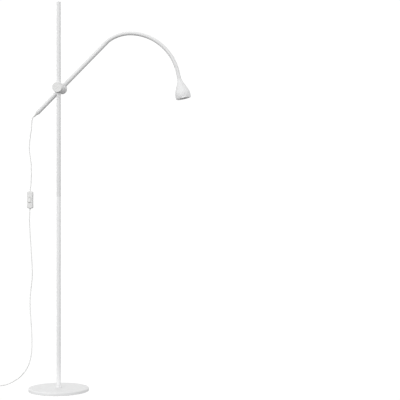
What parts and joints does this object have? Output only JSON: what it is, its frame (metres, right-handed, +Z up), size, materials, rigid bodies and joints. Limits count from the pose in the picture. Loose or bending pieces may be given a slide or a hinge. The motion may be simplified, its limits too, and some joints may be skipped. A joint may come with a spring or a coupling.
{
  "type": "adjustable arm floor lamp",
  "caption": "Slim white floor lamp: round base, pole, sliding clamp with a knob, tilting arm, flexible neck, small bell-shaped head, hanging cord with an inline switch and plug.",
  "frame": {"origin": "centre of the base's underside, on the pole's axis", "axes": "+Z up the pole, +X the way the arm reaches from the pole to the head, -Y the side that the clamp's knob faces"},
  "size_m": [0.8484, 0.23, 1.4903],
  "materials": {
    "white_enamel": "white powder coat",
    "white_plastic": "white, satin",
    "white_sleeve": "white flexible sleeve, satin",
    "white_cord": "white PVC, satin",
    "steel": "zinc plated",
    "cast_iron": "as cast, painted grey",
    "brass": "nickel-free brass, satin",
    "aluminium": "plain, satin",
    "grey_plastic": "grey, matt",
    "dark_rubber": "matt",
    "lens_plastic": "frosted, translucent",
    "led_yellow": "phosphor coating"
  },
  "bodies": {
    "stand": {"base_pad": "dark_rubber", "base_weight": "cast_iron", "base_cover": "white_enamel", "base_bolt": "steel", "base_washer": "steel", "pole_foot_collar": "white_enamel", "pole_foot_plug": "steel", "pole_lower_tube": "white_enamel", "pole_joint_stud": "steel", "pole_upper_tube": "white_enamel", "pole_top_cap": "white_plastic", "cord_low": "white_cord", "cord_coil": "white_cord", "cord_end": "white_cord", "cord_tie": "grey_plastic", "plug_body": "white_plastic", "plug_relief": "white_plastic", "plug_pin_a": "brass", "plug_pin_b": "brass"},
    "carriage": {"pole_bush": "white_plastic", "switch_front": "white_plastic", "switch_back": "white_plastic", "switch_contacts": "brass", "switch_screw_a": "steel", "switch_screw_b": "steel", "cord_middle": "white_cord"},
    "rocker": {"switch_rocker": "white_plastic"},
    "clamp": {"clamp_body": "white_enamel", "clamp_insert": "brass", "friction_ring": "grey_plastic", "tilt_screw_a": "steel", "tilt_screw_b": "steel", "cord_top": "white_cord"},
    "pad": {"clamp_pad": "grey_plastic", "thrust_washer": "grey_plastic"},
    "knob": {"knob_disc": "white_plastic", "knob_screw": "steel"},
    "arm": {"arm_holder": "white_enamel", "holder_cap": "white_plastic", "arm_screw": "steel", "arm_tube": "white_enamel", "tail_gland": "white_plastic", "strain_relief": "white_cord", "neck_ferrule": "white_enamel", "arm_lead": "white_cord"},
    "neck_1": {"neck_link_1": "white_sleeve"},
    "neck_2": {"neck_link_2": "white_sleeve"},
    "neck_3": {"neck_link_3": "white_sleeve"},
    "neck_4": {"neck_link_4": "white_sleeve"},
    "neck_5": {"neck_link_5": "white_sleeve"},
    "neck_6": {"neck_link_6": "white_sleeve"},
    "neck_7": {"neck_link_7": "white_sleeve"},
    "head": {"neck_link_8": "white_sleeve", "head_collar": "white_enamel", "head_shade": "white_enamel", "heat_sink": "aluminium", "led_board": "aluminium", "led_module": "led_yellow", "lens": "lens_plastic", "lens_ring": "grey_plastic"}
  },
  "joints": [
    {"name": "height_slide", "type": "slide", "parent": "stand", "child": "carriage", "axis": [0, 0, 1], "range_m": [-0.55, 0.29], "deforming": ["cord_low"]},
    {"name": "swivel", "type": "hinge", "parent": "carriage", "child": "clamp", "pos_m": [0, 0, 1.16], "axis": [0, 0, 1], "range_deg": [-170, 170], "deforming": ["cord_middle"]},
    {"name": "arm_tilt", "type": "hinge", "parent": "clamp", "child": "arm", "pos_m": [0, 0.035, 1.16], "axis": [0, -1, 0], "range_deg": [-60, 40], "deforming": ["cord_top"]},
    {"name": "pad_travel", "type": "slide", "parent": "clamp", "child": "pad", "axis": [0, -1, 0], "range_m": [0, 0.00095]},
    {"name": "knob_turn", "type": "hinge", "parent": "pad", "child": "knob", "pos_m": [0, 0, 1.16], "axis": [0, -1, 0], "range_deg": [0, 270]},
    {"name": "switch_rock", "type": "hinge", "parent": "carriage", "child": "rocker", "pos_m": [-0.1243, 0.03, 0.731], "axis": [1, 0, 0], "range_deg": [0, 12]},
    {"name": "neck_bend_1", "type": "hinge", "parent": "arm", "child": "neck_1", "pos_m": [0.18286, 0.035, 1.33845], "axis": [0, 1, 0], "range_deg": [-20, 20]},
    {"name": "neck_bend_2", "type": "hinge", "parent": "neck_1", "child": "neck_2", "pos_m": [0.22261, 0.035, 1.35933], "axis": [-0.3229, 0, 0.9464], "range_deg": [-18, 18]},
    {"name": "neck_bend_3", "type": "hinge", "parent": "neck_2", "child": "neck_3", "pos_m": [0.26683, 0.035, 1.36709], "axis": [0, 1, 0], "range_deg": [-20, 20]},
    {"name": "neck_bend_4", "type": "hinge", "parent": "neck_3", "child": "neck_4", "pos_m": [0.31149, 0.035, 1.36184], "axis": [0.2336, 0, 0.9723], "range_deg": [-18, 18]},
    {"name": "neck_bend_5", "type": "hinge", "parent": "neck_4", "child": "neck_5", "pos_m": [0.35373, 0.035, 1.34638], "axis": [0, 1, 0], "range_deg": [-20, 20]},
    {"name": "neck_bend_6", "type": "hinge", "parent": "neck_5", "child": "neck_6", "pos_m": [0.39132, 0.035, 1.32168], "axis": [0.6415, 0, 0.7671], "range_deg": [-18, 18]},
    {"name": "neck_bend_7", "type": "hinge", "parent": "neck_6", "child": "neck_7", "pos_m": [0.42228, 0.035, 1.28905], "axis": [0, 1, 0], "range_deg": [-20, 20]},
    {"name": "neck_bend_8", "type": "hinge", "parent": "neck_7", "child": "head", "pos_m": [0.44498, 0.035, 1.25021], "axis": [0.9157, 0, 0.4019], "range_deg": [-18, 18]}
  ],
  "couplings": [
    {"joint": "pad_travel", "follows": "knob_turn", "m_per_rad": 0.00019894},
    {"joint": "neck_bend_3", "follows": "neck_bend_1", "ratio": 1},
    {"joint": "neck_bend_5", "follows": "neck_bend_1", "ratio": 1},
    {"joint": "neck_bend_7", "follows": "neck_bend_1", "ratio": 1},
    {"joint": "neck_bend_4", "follows": "neck_bend_2", "ratio": 1},
    {"joint": "neck_bend_6", "follows": "neck_bend_2", "ratio": 1},
    {"joint": "neck_bend_8", "follows": "neck_bend_2", "ratio": 1}
  ]
}
